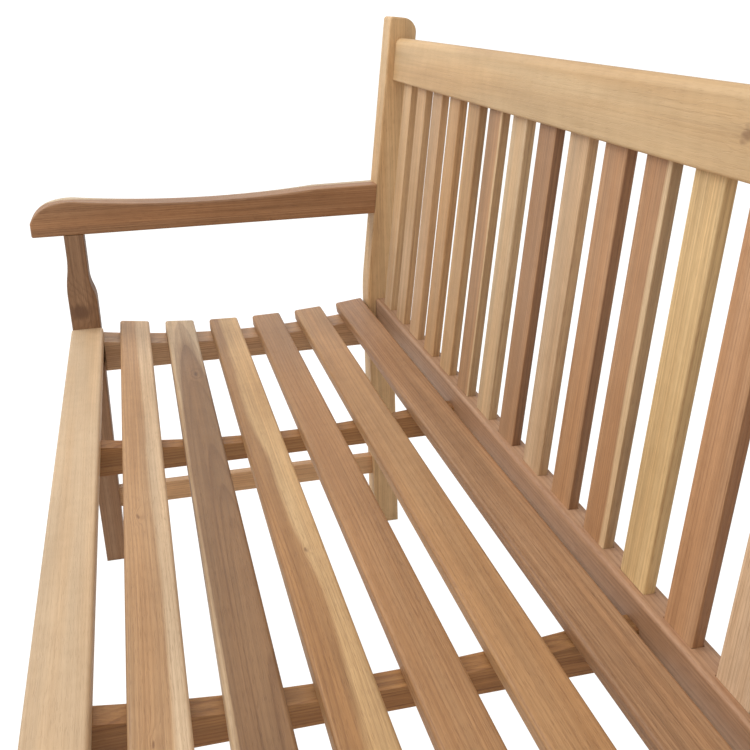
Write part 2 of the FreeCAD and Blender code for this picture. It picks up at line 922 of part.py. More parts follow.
def slat_middle(index):
    """Middle of a slat's underside, and its slope: where its screws meet it."""
    start = slat_start(index)
    angle = slat_angle(start)
    half = cell("slat_width") / 2
    depth = start + half * cosine(angle)
    return depth, dish_height(start) + half * sine(angle), angle


def slat_screw_places():
    """Where the four bearers stand along the bench."""
    end = INNER - (cell("rail_thick") - LEG) / 2 - cell("end_bearer_thick") / 2
    left, right = middle_bearer_places()
    return -end, left, right, end


# -------------------------------------------------------------------- fasteners

def bore(body, base, length, diameter, axis, angle):
    """Cuts a round hole from the base point, along Z turned about an axis."""
    hole = body.newObject("PartDesign::SubtractiveCylinder", f"{body.Label}_bore")
    turn = FreeCAD.Rotation(FreeCAD.Vector(*axis), angle.value)
    hole.Placement = FreeCAD.Placement(FreeCAD.Vector(*[v.value for v in base]), turn)
    for name, value in zip("xyz", base):
        hole.setExpression(f"Placement.Base.{name}", value.text)
    hole.setExpression("Placement.Rotation.Angle", f"{angle.text} * 1 deg")
    across = diameter + cell("hole_clearance") * 2
    hole.setExpression("Radius", (across / 2).text)
    hole.setExpression("Height", length.text)
    doc.recompute()


def bore_along_x(body, low, high, depth, height, diameter):
    low = size_of(low)
    base = (low, depth, height)
    bore(body, base, high - low, diameter, (0, 1, 0), size_of(90))


def bore_along_y(body, place, low, high, height, diameter):
    base = (place, low, height)
    bore(body, base, high - low, diameter, (-1, 0, 0), size_of(90))


def bore_down(body, place, depth, height, angle, start, end, diameter):
    """Hole square to a slat's underside, from start to end below it."""
    base = (place, depth + end * sine(angle), height - end * cosine(angle))
    bore(body, base, end - start, diameter, (1, 0, 0), angle)


def screw_grip():
    """How far below the slat the underside of the screw's head is."""
    return cell("screw_length") - cell("screw_bite")


def cut_screw_hole(body, place, depth, height, angle):
    """Shank hole with a deep counterbore, driven up through a bearer or rail."""
    through = cell("apron_height") + cell("end_bearer_height")
    start = size_of(-OVERSHOOT)
    bore_down(body, place, depth, height, angle, start, through, cell("screw_diameter"))
    head = screw_grip() - cell("screw_head_height")
    bore_down(body, place, depth, height, angle, head, through, cell("counterbore_diameter"))


def cut_pilot_hole(body, place, depth, height):
    """Blind hole in a slat's underside, in the slat's own frame."""
    length = cell("screw_bite") + cell("hole_clearance") + OVERSHOOT
    base = (size_of(place), depth, height - OVERSHOOT)
    bore(body, base, length, cell("screw_diameter"), (1, 0, 0), size_of(0))


def front_screw_seat():
    """Point and slope of the front slat's underside over the apron's middle."""
    depth = cell("apron_setback") + cell("rail_thick") / 2
    return depth, bearer_top(), size_of(0)


def front_screw_places():
    """Evenly spaced places along the apron, the same in from both ends."""
    reach = INNER - cell("front_screw_inset")
    count = round(cell("front_screw_count").value)
    step = reach * 2 / (cell("front_screw_count") - 1)
    return [step * index - reach for index in range(count)]


def bearer_screw_points():
    """Depth and height of the end bearer's screws, between the seat slats."""
    height = bearer_top() - cell("dish_depth") - cell("screw_head_diameter")
    gaps = range(0, slat_total() - 1, 2)
    return [(gap_middle(index), height) for index in gaps]


def gap_middle(index):
    """Depth of the middle of the gap behind a seat slat."""
    return (slat_start(index) + cell("slat_width") + slat_start(index + 1)) / 2


def bearer_screw_tip():
    """How far past the leg's inner face the end bearer's screws reach."""
    return bearer_screw_head() + cell("bearer_screw_length") + cell("hole_clearance")


def bearer_screw_head():
    """Outer face of the side rail, in the end frame's own X."""
    return -(LEG + cell("rail_thick")) / 2


def apron_bolt():
    return cell("apron_setback") + cell("rail_thick") / 2, bearer_top() - cell("apron_height") / 2


def rear_rail_bolt():
    depth = cell("seat_depth") + cell("rear_rail_setback") + cell("rail_thick") / 2
    return depth, rear_rail_top() - cell("rear_rail_height") / 2


def top_rail_bolt():
    """Bolt of the top rail, square to and up along the back."""
    middle = cell("top_rail_setback") + cell("top_rail_thick") / 2
    return middle, top_rail_low() + cell("top_rail_height") / 2


def cut_leg_bolt_hole(body, depth, height):
    """Bolt hole through a leg, with a recess for the head in its outer face."""
    outside, inside = -LEG - OVERSHOOT, size_of(OVERSHOOT)
    bore_along_x(body, outside, inside, depth, height, cell("bolt_diameter"))
    recess = cell("bolt_recess") - LEG
    bore_along_x(body, outside, recess, depth, height, cell("bolt_head_diameter"))


def cut_bolt_holes(body, depth, height, thick):
    """A bolt hole into each end of a long rail, and its barrel nut's hole."""
    out = INNER + cell("cross_tenon_length") + OVERSHOOT
    reach = INNER - cell("bolt_reach") - cell("hole_clearance")
    bore_along_x(body, -out, -reach, depth, height, cell("bolt_diameter"))
    bore_along_x(body, reach, out, depth, height, cell("bolt_diameter"))
    front = depth - cell("nut_length") / 2 - cell("hole_clearance")
    back = depth + thick / 2 + OVERSHOOT
    for place in nut_places():
        bore_along_y(body, place, front, back, height, cell("nut_diameter"))


def nut_places():
    place = INNER - cell("nut_inset")
    return -place, place


def arm_front_peg():
    low, high = arm_tenon_span()
    return (low + high) / 2, arm_low() + cell("tenon_length") / 2


def arm_rear_peg():
    low, high = arm_rear_tenon_heights()
    height = (low + high) / 2
    return post_front_at(height) + cell("tenon_length") / 2, height


def rail_pegs(heights):
    """Pegs through the front and rear tenons of a piece of the end frame."""
    low, high = heights
    middle = (low + high) / 2
    half = cell("tenon_length") / 2
    return (leg_back_at(low) - half, middle), (cell("seat_depth") + half, middle)


def front_leg_pegs():
    return [rail_pegs(side_rail_tenon_heights())[0],
            rail_pegs(stretcher_tenon_heights())[0], arm_front_peg()]


def back_leg_pegs():
    return [rail_pegs(side_rail_tenon_heights())[1],
            rail_pegs(stretcher_tenon_heights())[1], arm_rear_peg()]


def cut_peg_hole(body, depth, height):
    """Blind hole for a peg, from the end frame's outer face."""
    depth_in = cell("peg_depth") + cell("hole_clearance") - LEG
    bore_along_x(body, -LEG - OVERSHOOT, depth_in, depth, height, cell("peg_diameter"))


def fastener_group(label, shapes):
    """Identical fasteners as one node of separate solids."""
    group = doc.addObject("Part::Feature", label)
    group.Label = label
    group.Shape = Part.makeCompound(shapes)
    group.Placement = FreeCAD.Placement(
        FreeCAD.Vector(0, -MID_DEPTH.value, 0), FreeCAD.Rotation())
    return group


def placed(shape, point, axis=(1, 0, 0), angle=0):
    """A copy of a fastener at a point, turned about an axis through it."""
    copy = shape.copy()
    copy.Placement = FreeCAD.Placement(
        FreeCAD.Vector(*[size_of(value).value for value in point]),
        FreeCAD.Rotation(FreeCAD.Vector(*axis), angle))
    return copy


def both_ends(shapes):
    """The shapes of the left end, and their mirror images at the right end."""
    origin, along = FreeCAD.Vector(0, 0, 0), FreeCAD.Vector(1, 0, 0)
    return shapes + [shape.mirror(origin, along) for shape in shapes]


def wood_screw(length):
    """Countersunk screw that points up, its tip at the origin."""
    head = cell("screw_head_diameter").value / 2
    shank = cell("screw_diameter").value / 2
    head_height = cell("screw_head_height").value
    bottom = FreeCAD.Vector(0, 0, -length)
    cone = Part.makeCone(head, shank, head_height, bottom)
    stem = Part.makeCylinder(shank, length - head_height,
                             bottom + FreeCAD.Vector(0, 0, head_height))
    return cone.fuse(stem).removeSplitter()


def make_slat_screws():
    screw = wood_screw(cell("screw_length").value)
    bite = cell("screw_bite")
    screws = []
    for index in range(slat_total()):
        depth, height, angle = slat_middle(index)
        tip = (depth - bite * sine(angle), height + bite * cosine(angle))
        for place in slat_screw_places():
            screws.append(placed(screw, (place, *tip), (1, 0, 0), angle.value))
    return fastener_group("slat_screws", screws)


def make_front_slat_screws():
    screw = wood_screw(cell("screw_length").value)
    depth, height, angle = front_screw_seat()
    tip = height + cell("screw_bite")
    screws = [placed(screw, (place, depth, tip)) for place in front_screw_places()]
    return fastener_group("front_slat_screws", screws)


def make_bearer_screws():
    screw = wood_screw(cell("bearer_screw_length").value)
    tip = -INNER + bearer_screw_head() + cell("bearer_screw_length")
    screws = [placed(screw, (tip, depth, height), (0, 1, 0), 90)
              for depth, height in bearer_screw_points()]
    return fastener_group("bearer_screws", both_ends(screws))


def rail_bolts():
    """Depth and height of the three long rails' bolts."""
    return [apron_bolt(), rear_rail_bolt(), on_back(*top_rail_bolt())]


def make_frame_bolts():
    head = cell("bolt_head_height").value
    shank = cell("bolt_diameter").value / 2
    start = -INNER - LEG + cell("bolt_recess") - cell("bolt_head_height")
    length = (-INNER + cell("bolt_reach") - start).value - head
    cap = Part.makeCylinder(cell("bolt_head_diameter").value / 2, head)
    stem = Part.makeCylinder(shank, length, FreeCAD.Vector(0, 0, head))
    socket = Part.makeCylinder(cell("bolt_socket_diameter").value / 2,
                               cell("bolt_socket_depth").value)
    bolt = cap.fuse(stem).cut(socket)
    bolts = [placed(bolt, (start, depth, height), (0, 1, 0), 90)
             for depth, height in rail_bolts()]
    return fastener_group("frame_bolts", both_ends(bolts))


def make_barrel_nuts():
    length = cell("nut_length").value
    barrel = Part.makeCylinder(cell("nut_diameter").value / 2, length,
                               FreeCAD.Vector(0, 0, -length / 2))
    across = cell("bolt_diameter").value + cell("hole_clearance").value * 2
    thread = Part.makeCylinder(across / 2, length, FreeCAD.Vector(-length / 2, 0, 0),
                               FreeCAD.Vector(1, 0, 0))
    nut = barrel.cut(thread)
    place = nut_places()[0]
    turns = (90, 90, 90 + cell("back_lean").value)
    nuts = [placed(nut, (place, depth, height), (-1, 0, 0), turn)
            for (depth, height), turn in zip(rail_bolts(), turns)]
    return fastener_group("barrel_nuts", both_ends(nuts))


def make_tenon_pegs():
    start = -INNER - LEG
    peg = Part.makeCylinder(cell("peg_diameter").value / 2, cell("peg_depth").value)
    pegs = [placed(peg, (start, depth, height), (0, 1, 0), 90)
            for depth, height in front_leg_pegs() + back_leg_pegs()]
    return fastener_group("tenon_pegs", both_ends(pegs))


# --------------------------------------------------------------------- assembly

def back_edge():
    """The rearmost depth, on the rounded back corner of the back leg's top."""
    corner = cell("post_rear_round")
    thick = cell("post_depth") * cosine(LEAN)
    return on_back(thick - corner, post_rise() - corner)[0] + corner


def build_bench():
    end_pieces = [make_front_leg(), make_back_leg(), make_arm(), make_side_rail(),
                  make_stretcher(), make_end_bearer(), make_middle_bearer()]
    pieces = list(end_pieces)
    for piece in end_pieces:
        pieces.append(mirror_piece(piece, piece.Label.replace("left", "right")))
    pieces += [make_apron(), make_rear_rail(), make_top_rail(), make_front_slat()]
    pieces += [make_seat_slat(index) for index in range(slat_total())]
    pieces += [make_back_slat(index)
               for index in range(round(cell("back_slat_count").value))]
    pieces += [make_slat_screws(), make_front_slat_screws(), make_bearer_screws(),
               make_frame_bolts(), make_barrel_nuts(), make_tenon_pegs()]
    return pieces


def check_document():
    for item in doc.Objects:
        broken = {"Invalid", "Error"} & set(item.State)
        if broken:
            raise RuntimeError(f"{item.Label} did not recompute: {item.State}")


def check_shape(piece):
    shape = piece.Shape
    if shape.isNull() or not shape.isValid() or not shape.Solids:
        raise RuntimeError(f"{piece.Label} has no valid solid")


doc = FreeCAD.newDocument("garden_bench")
sheet = make_sheet()
LEG = cell("leg_width")
LEAN = cell("back_lean")
SEAT_TOP = cell("seat_height")
INNER = cell("bench_length") / 2 - LEG
DISH_START = cell("leg_setback") + cell("leg_depth") + cell("bearer_leg_gap")
MID_DEPTH = (back_edge() - cell("arm_nose")) / 2

bench = build_bench()
doc.recompute()
check_document()
for piece in bench:
    check_shape(piece)
os.makedirs("parts", exist_ok=True)
for piece in bench:
    piece.Shape.exportStep(os.path.join("parts", f"{piece.Label}.step"))
print(len(bench), "nodes written")
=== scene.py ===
import math

import bpy
from mathutils import Matrix, Vector


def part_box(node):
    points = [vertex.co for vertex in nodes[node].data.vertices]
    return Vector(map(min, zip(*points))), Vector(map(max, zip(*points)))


# A slatted teak garden bench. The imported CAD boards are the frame, and each one gets
# its own piece of teak. The wood is solid, so its growth rings run through every face.

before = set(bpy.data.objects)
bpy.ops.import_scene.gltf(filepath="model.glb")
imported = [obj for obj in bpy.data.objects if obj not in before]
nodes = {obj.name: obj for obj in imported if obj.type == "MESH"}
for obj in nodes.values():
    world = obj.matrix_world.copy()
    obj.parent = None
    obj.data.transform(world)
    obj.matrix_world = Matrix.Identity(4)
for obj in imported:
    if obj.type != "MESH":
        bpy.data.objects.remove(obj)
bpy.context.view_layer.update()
scene = bpy.context.scene

BACK_LEAN = math.radians(6.65)
WHITE = (1, 1, 1, 1)


# ------------------------------------------------------------------ node helpers

class Graph:
    """Short calls that add shader nodes to one tree and wire them up."""

    def __init__(self, tree):
        self.tree = tree

    def node(self, kind, inputs=None, **settings):
        node = self.tree.nodes.new(kind)
        for name, value in settings.items():
            setattr(node, name, value)
        for key, value in (inputs or {}).items():
            self.feed(node.inputs[key], value)
        return node

    def feed(self, socket, value):
        if isinstance(value, bpy.types.NodeSocket):
            self.tree.links.new(value, socket)
        else:
            socket.default_value = value

    def math(self, operation, *values):
        node = self.node("ShaderNodeMath", operation=operation)
        for index, value in enumerate(values):
            self.feed(node.inputs[index], value)
        return node.outputs[0]

    def total(self, first, *others):
        for other in others:
            first = self.math("ADD", first, other)
        return first

    def product(self, first, *others):
        for other in others:
            first = self.math("MULTIPLY", first, other)
        return first

    def swing(self, value, amount):
        """Turns a value from 0 to 1 into one that swings about zero."""
        return self.product(self.math("SUBTRACT", value, 0.5), amount)

    def vector(self, operation, *values):
        node = self.node("ShaderNodeVectorMath", operation=operation)
        for index, value in enumerate(values):
            key = "Scale" if operation == "SCALE" and index else index
            self.feed(node.inputs[key], value)
        return node.outputs["Value" if operation == "LENGTH" else "Vector"]

    def noise(self, vector, detail, roughness=0.5, colour=False):
        node = self.node("ShaderNodeTexNoise", {
            "Vector": vector, "Scale": 1.0, "Detail": detail, "Roughness": roughness})
        return node.outputs["Color" if colour else "Fac"]

    def ease(self, value, low, high, to_low=0.0, to_high=1.0):
        node = self.node("ShaderNodeMapRange", {
            "Value": value, "From Min": low, "From Max": high,
            "To Min": to_low, "To Max": to_high}, interpolation_type="SMOOTHSTEP")
        return node.outputs["Result"]

    def blend(self, factor, first, second, mode="MIX"):
        node = self.node("ShaderNodeMix", {0: factor, 6: first, 7: second},
                         data_type="RGBA", blend_type=mode)
        return node.outputs[2]

    def mix_shaders(self, factor, first, second):
        node = self.node("ShaderNodeMixShader", {0: factor, 1: first, 2: second})
        return node.outputs[0]


def fresh_material(name):
    material = bpy.data.materials.new(name)
    material.use_nodes = True
    tree = material.node_tree
    return material, Graph(tree), tree.nodes["Principled BSDF"]


def dress(node, material):
    board = nodes[node]
    board.data.materials.clear()
    board.data.materials.append(material)


# -------------------------------------------------------------------------- wood

GROUP_INPUTS = (
    ("Place", "Vector"), ("Seed", "Float"), ("Pith", "Vector"), ("Tilt", "Vector"),
    ("Ring", "Float"), ("Wander", "Float"), ("Heart", "Color"), ("Line", "Color"),
    ("Sap", "Color"), ("SapStart", "Float"), ("SapSoft", "Float"), ("Streak", "Float"),
    ("KnotA", "Vector"), ("KnotSizeA", "Float"), ("KnotB", "Vector"),
    ("KnotSizeB", "Float"), ("Patch", "Float"), ("RingDepth", "Float"),
    ("Sway", "Float"),
)
GROUP_OUTPUTS = (("Color", "Color"), ("Roughness", "Float"), ("Height", "Float"))

# Size of each figure in the wood, in mm: along the grain, then across it.
SLOW_BEND = (620.0, 120.0)
QUICK_BEND = (150.0, 34.0)
KNOT_BEND = (16.0, 5.0)
FIBRE = (150.0, 1.3)
BAND = (420.0, 7.0)
PORE = (13.0, 0.8)
DASH = (70.0, 1.6)
PATCH = (330.0, 46.0)
SHIMMER = (19.0, 26.0)
WARMTH = (520.0, 24.0)
SAP_SWAY = (260.0, 400.0)

MM_PER_METRE = 1000.0
SEED_STEP = (731.3, 377.7, 193.1)     # mm between the woods of two whole seeds
QUICK_SHARE = 0.12                    # the quick bend's part of Wander
FIBRE_ON_SAP_EDGE = 2.5               # mm

# Knots. Reach is the distance from a knot's middle, in units of its size.
KNOT_SHAPE = (0.30, 1.0, 0.25)        # below 1 makes it longer that way
KNOT_RAGGED = 4.0                     # mm
KNOT_PUSH_REACH = 4.2
KNOT_PUSH = 2.4                       # how far it pushes the rings, in sizes
KNOT_CORE = (1.15, 0.35)              # reach where its dark core starts and is full
KNOT_CORE_DEPTH = 0.6
KNOT_TONE = (0.55, 0.42, 0.35)

# Rings. A ring's phase runs from 0 to 1 outwards.
RING_CLOUD = (23.0, 1400.0)           # mm, across the rings and along the grain
RING_UNEVEN = 3.2                     # rings
RING_SEED = 17.0
LATE_RISE = (0.42, 0.90)
LATE_FALL = (1.0, 0.88)
LATE_STRENGTH = (0.75, 0.25)          # how much it varies, and the least of it
SAP_FADES_RINGS = -0.45

# Colour and surface.
WARM_TONE = (1.05, 1.0, 0.90, 1)
COOL_TONE = (0.98, 1.0, 0.99, 1)
BAND_SHARE = 0.9
SHIMMER_DEPTH = 0.16
GREEN_POWER, BLUE_POWER = 1.18, 1.4   # a darker streak is also a redder one
PORE_DEPTH, DASH_DEPTH = 0.42, 0.55
MARKS_PER_STREAK = 1.4
MARK_TONE = (0.60, 0.52, 0.45)
ROUGHNESS = (0.16, 0.46)              # rise with the fibre, and the least of it
RELIEF = {"late": -0.35, "fibre": 0.5, "pore": -0.8}


def build_wood_group():
    """Solid wood: growth rings about a pith line, sapwood, knots, fibres, pores.

    Place is in metres, in the board's own axes: x along the grain, y across the
    face, z through the thickness. Every other length is in millimetres.
    """
    group = bpy.data.node_groups.new("teak_wood", "ShaderNodeTree")
    for way, sockets in (("INPUT", GROUP_INPUTS), ("OUTPUT", GROUP_OUTPUTS)):
        for name, kind in sockets:
            group.interface.new_socket(name, in_out=way, socket_type=f"NodeSocket{kind}")
    g = Graph(group)
    given = g.node("NodeGroupInput").outputs
    place = g.vector("SCALE", given["Place"], MM_PER_METRE)
    shift = g.vector("SCALE", SEED_STEP, given["Seed"])
    seeded = g.vector("ADD", place, shift)

    def stretched(size):
        along, across = size
        return g.vector("MULTIPLY", seeded, (1 / along, 1 / across, 1 / across))

    def bend(size, amount):
        cloud = g.noise(stretched(size), 1.0, colour=True)
        moved = g.vector("SUBTRACT", cloud, (0.5, 0.5, 0.5))
        return g.vector("SCALE", moved, amount)

    # distance from the pith line, bent by slow and quicker waves
    run = g.node("ShaderNodeSeparateXYZ", {"Vector": place}).outputs[0]
    lean = g.vector("SCALE", given["Tilt"], run)
    from_pith = g.vector("SUBTRACT", g.vector("SUBTRACT", place, given["Pith"]), lean)
    slow = bend(SLOW_BEND, given["Wander"])
    quick = bend(QUICK_BEND, g.product(given["Wander"], QUICK_SHARE))
    bent = g.vector("ADD", g.vector("ADD", from_pith, slow), quick)
    flat = g.vector("MULTIPLY", bent, (0.0, 1.0, 1.0))
    clear_radius = g.vector("LENGTH", flat)

    # knots push the rings aside and carry a dark core
    radius = clear_radius
    cores = []
    for letter in "AB":
        size = given[f"KnotSize{letter}"]
        away = g.vector("SUBTRACT", place, given[f"Knot{letter}"])
        oval = g.vector("MULTIPLY", away, KNOT_SHAPE)
        ragged = g.vector("ADD", oval, bend(KNOT_BEND, KNOT_RAGGED))
        reach = g.math("DIVIDE", g.vector("LENGTH", ragged), size)
        push = g.ease(reach, KNOT_PUSH_REACH, 0.0)
        radius = g.total(radius, g.product(push, g.product(size, KNOT_PUSH)))
        cores.append(g.ease(reach, *KNOT_CORE))
    core = g.math("MAXIMUM", *cores)

    # growth rings of uneven width and strength
    cloud_across, cloud_along = RING_CLOUD
    ring_place = g.node("ShaderNodeCombineXYZ", {
        "X": g.math("DIVIDE", radius, cloud_across),
        "Y": g.math("DIVIDE", run, cloud_along), "Z": given["Seed"]}).outputs[0]
    uneven = g.product(g.noise(ring_place, 2.0), RING_UNEVEN)
    turns = g.total(g.math("DIVIDE", radius, given["Ring"]), uneven)
    phase = g.math("FRACT", turns)
    which = g.total(g.math("FLOOR", turns), g.product(given["Seed"], RING_SEED))
    strength = g.node("ShaderNodeTexWhiteNoise", {"W": which},
                      noise_dimensions="1D").outputs["Value"]
    late = g.product(g.ease(phase, *LATE_RISE), g.ease(phase, *LATE_FALL),
                     g.math("MULTIPLY_ADD", strength, *LATE_STRENGTH))

    # fibres, bands, pores and clouds
    fine = g.noise(stretched(FIBRE), 4.0, 0.68)
    middle = g.noise(stretched(BAND), 2.0)
    pores = g.ease(g.noise(stretched(PORE), 1.0), 0.57, 0.68)
    dashes = g.ease(g.noise(stretched(DASH), 1.5), 0.64, 0.76)
    patch = g.noise(stretched(PATCH), 2.0)
    shimmer = g.noise(stretched(SHIMMER), 2.0)
    warm = g.noise(stretched(WARMTH), 1.5)
    sway = g.noise(stretched(SAP_SWAY), 2.0)

    # heartwood and sapwood
    edge = g.total(clear_radius, g.swing(sway, given["Sway"]),
                   g.swing(fine, FIBRE_ON_SAP_EDGE))
    sap = g.ease(edge, g.math("SUBTRACT", given["SapStart"], given["SapSoft"]),
                 g.total(given["SapStart"], given["SapSoft"]))
    colour = g.blend(sap, given["Heart"], given["Sap"])
    hue = g.blend(g.ease(warm, 0.3, 0.7), WARM_TONE, COOL_TONE)
    colour = g.blend(1.0, colour, hue, "MULTIPLY")

    # light and dark streaks
    streak = g.product(given["Streak"], g.total(g.swing(fine, 1.0),
                                                g.swing(middle, BAND_SHARE)))
    shade = g.total(1.0, g.swing(patch, given["Patch"]), streak,
                    g.swing(shimmer, SHIMMER_DEPTH))
    tint = g.node("ShaderNodeCombineXYZ", {
        "X": shade, "Y": g.math("POWER", shade, GREEN_POWER),
        "Z": g.math("POWER", shade, BLUE_POWER)}).outputs[0]
    colour = g.vector("MULTIPLY", colour, tint)

    # ring lines, pores and knots over it
    depth = g.product(given["RingDepth"],
                      g.math("MULTIPLY_ADD", sap, SAP_FADES_RINGS, 1.0))
    colour = g.blend(g.product(late, depth), colour, given["Line"])
    marks = g.math("MAXIMUM", g.product(pores, PORE_DEPTH),
                   g.product(dashes, DASH_DEPTH))
    marks = g.product(marks, g.math("MINIMUM", 1.0, g.product(given["Streak"],
                                                              MARKS_PER_STREAK)))
    colour = g.blend(marks, colour, g.vector("MULTIPLY", colour, MARK_TONE))
    colour = g.blend(g.product(core, KNOT_CORE_DEPTH), colour,
                     g.vector("MULTIPLY", given["Line"], KNOT_TONE))

    height = g.total(g.product(late, RELIEF["late"]),
                     g.total(g.product(fine, RELIEF["fibre"]),
                             g.product(pores, RELIEF["pore"])))
    g.node("NodeGroupOutput", {
        "Color": colour, "Roughness": g.math("MULTIPLY_ADD", fine, *ROUGHNESS),
        "Height": height})
    return group


WOOD = build_wood_group()

# The boards' own axes, as rows: along the grain, across the face, through it.
AXES = {
    "long": Matrix(((1, 0, 0), (0, 1, 0), (0, 0, 1))),
    "deep": Matrix(((0, 1, 0), (0, 0, 1), (1, 0, 0))),
    "upright": Matrix(((0, 0, 1), (1, 0, 0), (0, 1, 0))),
    "leaning": Matrix(((0, math.sin(BACK_LEAN), math.cos(BACK_LEAN)), (1, 0, 0),
                       (0, math.cos(BACK_LEAN), -math.sin(BACK_LEAN)))),
}

ALL_HEART = 900           # mm: sapwood starts outside any board
NO_KNOT = (9000, 0, 0)    # mm: outside any board
LOOK = {
    "Pith": (0, -60, -40), "Tilt": (0, 0.004, 0.006), "Ring": 3.4, "Wander": 12,
    "SapStart": ALL_HEART, "SapSoft": 2.2, "Sway": 16, "Streak": 0.60,
    "Patch": 0.50, "RingDepth": 0.40,
    "KnotA": NO_KNOT, "KnotSizeA": 4, "KnotB": NO_KNOT, "KnotSizeB": 4,
}
BUMP = {"Strength": 0.35, "Distance": 0.0006}
WOOD_SPECULAR = 0.5
LINE_TONE = (0.52, 0.39, 0.29)
PALE_SAP = (0.66, 0.48, 0.30)


def tones(heart, sap=PALE_SAP):
    """A board's colours; its ring lines are a deeper tone of its heartwood."""
    line = tuple(round(v * k, 3) for v, k in zip(heart, LINE_TONE))
    return {"Heart": (*heart, 1), "Line": (*line, 1), "Sap": (*sap, 1)}


def teak(node, axes, seed, painted_side_shade=None, **changes):
    """Gives one CAD board its own teak; a side colour, if given, is painted shade that
    darkens the faces pointing along x.
    """
    low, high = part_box(node)
    material, g, shader = fresh_material(f"teak_{node}")
    turn = AXES[axes]
    middle = turn @ ((low + high) / 2)
    coords = g.node("ShaderNodeTexCoord").outputs
    placed = g.node("ShaderNodeMapping", {
        "Vector": coords["Object"], "Location": -middle,
        "Rotation": turn.to_euler("XYZ")}).outputs[0]
    wood = g.node("ShaderNodeGroup", node_tree=WOOD)
    for name, value in {"Place": placed, "Seed": seed, **LOOK, **changes}.items():
        g.feed(wood.inputs[name], value)
    colour = wood.outputs["Color"]
    # painted shade: faces that point along x are darkened by the side colour, in place
    # of the shade that falls on the slats' sides
    if painted_side_shade:
        facing = g.node("ShaderNodeSeparateXYZ", {"Vector": coords["Normal"]})
        on_shaded_side = g.ease(g.math("ABSOLUTE", facing.outputs[0]), 0.55, 0.85)
        colour = g.blend(on_shaded_side, colour, g.vector("MULTIPLY", colour, painted_side_shade))
    bump = g.node("ShaderNodeBump", {"Height": wood.outputs["Height"], **BUMP})
    g.feed(shader.inputs["Base Color"], colour)
    g.feed(shader.inputs["Roughness"], wood.outputs["Roughness"])
    g.feed(shader.inputs["Normal"], bump.outputs[0])
    shader.inputs["Specular IOR Level"].default_value = WOOD_SPECULAR
    dress(node, material)


# seat, front to back
teak("front_seat_slat", "long", 1.3, **tones((0.57, 0.405, 0.255)),
     Pith=(0, -160, -60), RingDepth=0.14, Streak=0.26, Patch=0.4)
teak("seat_slat_1", "long", 2.1,
     **tones((0.46, 0.27, 0.135), sap=(0.59, 0.415, 0.26)),
     Pith=(0, -70, -30), SapStart=88, Sway=7, RingDepth=0.4,
     KnotA=(-30, -8, 10), KnotSizeA=2, KnotB=(330, -4, 10), KnotSizeB=2)
# its pith line sinks towards the left end, where its heartwood ends in a point
teak("seat_slat_2", "long", 3.4,
     **tones((0.25, 0.135, 0.062), sap=(0.53, 0.37, 0.225)),
     Pith=(0, 12, -13.3), Tilt=(0, 0.022, 0.0264), Wander=3, Sway=5,
     SapStart=41, SapSoft=3, RingDepth=0.45, KnotA=(-470, 8, 10), KnotSizeA=2.8)
teak("seat_slat_3", "long", 4.7,
     **tones((0.35, 0.18, 0.070), sap=(0.55, 0.35, 0.17)),
     Pith=(0, -62, -20), SapStart=64, SapSoft=3.5, Sway=22, Wander=20,
     RingDepth=0.42, Patch=0.7, KnotA=(70, 4, 10), KnotSizeA=2)
teak("seat_slat_4", "long", 5.2, **tones((0.37, 0.195, 0.085)), Wander=16,
     RingDepth=0.42)
teak("seat_slat_5", "long", 6.9, **tones((0.41, 0.225, 0.10)), Pith=(0, 70, -50),
     Wander=22, RingDepth=0.38)
teak("seat_slat_6", "long", 7.5, **tones((0.34, 0.18, 0.086)), Pith=(0, 90, -30),
     Streak=1.0)

# long rails
teak("top_rail", "long", 8.8, **tones((0.56, 0.375, 0.20)), Pith=(0, -40, -190),
     Ring=6, RingDepth=0.10, Streak=0.28, Patch=0.75, KnotA=(299, -16, 3),
     KnotSizeA=2.5)
teak("rear_seat_rail", "long", 9.1, **tones((0.43, 0.25, 0.15)), Pith=(0, 60, -50))
teak("front_apron", "long", 10.4, **tones((0.40, 0.22, 0.11)))

# end frames
for side, seed in (("left", 11), ("right", 17.3)):
    teak(f"arm_{side}", "deep", seed,
         **tones((0.345, 0.175, 0.08), sap=(0.56, 0.43, 0.28)),
         Pith=(0, -40, 30), SapStart=74, Sway=4, Streak=0.9, RingDepth=0.55)
    teak(f"front_leg_{side}", "upright", seed + 1, **tones((0.245, 0.13, 0.065)),
         Pith=(0, -70, 30), Streak=0.9, KnotA=(160, 23, -6), KnotSizeA=5)
    teak(f"back_leg_{side}", "upright", seed + 2, **tones((0.60, 0.395, 0.21)),
         Pith=(0, 70, -60), RingDepth=0.26)
    teak(f"side_rail_{side}", "deep", seed + 3, **tones((0.46, 0.26, 0.125)))
    teak(f"end_bearer_{side}", "deep", seed + 4, **tones((0.45, 0.26, 0.135)),
         Pith=(0, -60, 20), Streak=0.9, RingDepth=0.6)
    teak(f"middle_bearer_{side}", "deep", seed + 5, **tones((0.36, 0.175, 0.06)),
         Pith=(0, -50, 20), Streak=0.9, RingDepth=0.6)
    teak(f"stretcher_{side}", "deep", seed + 5.5, **tones((0.56, 0.325, 0.165)))

# back slats from the left: heartwood, and the radius where sapwood begins
BACK = (
    ((0.60, 0.40, 0.23), ALL_HEART), ((0.56, 0.36, 0.20), ALL_HEART),
    ((0.55, 0.35, 0.20), ALL_HEART), ((0.54, 0.33, 0.17), ALL_HEART),
    ((0.54, 0.34, 0.18), ALL_HEART), ((0.45, 0.26, 0.14), 96),
    ((0.62, 0.44, 0.27), ALL_HEART), ((0.39, 0.22, 0.12), ALL_HEART),
    ((0.58, 0.40, 0.25), ALL_HEART), ((0.47, 0.26, 0.135), ALL_HEART),
    ((0.45, 0.245, 0.125), 90), ((0.68, 0.48, 0.25), ALL_HEART),
    ((0.52, 0.29, 0.155), ALL_HEART), ((0.70, 0.50, 0.34), ALL_HEART),
    ((0.52, 0.33, 0.18), ALL_HEART), ((0.46, 0.26, 0.14), 82),
    ((0.60, 0.43, 0.27), ALL_HEART),
)
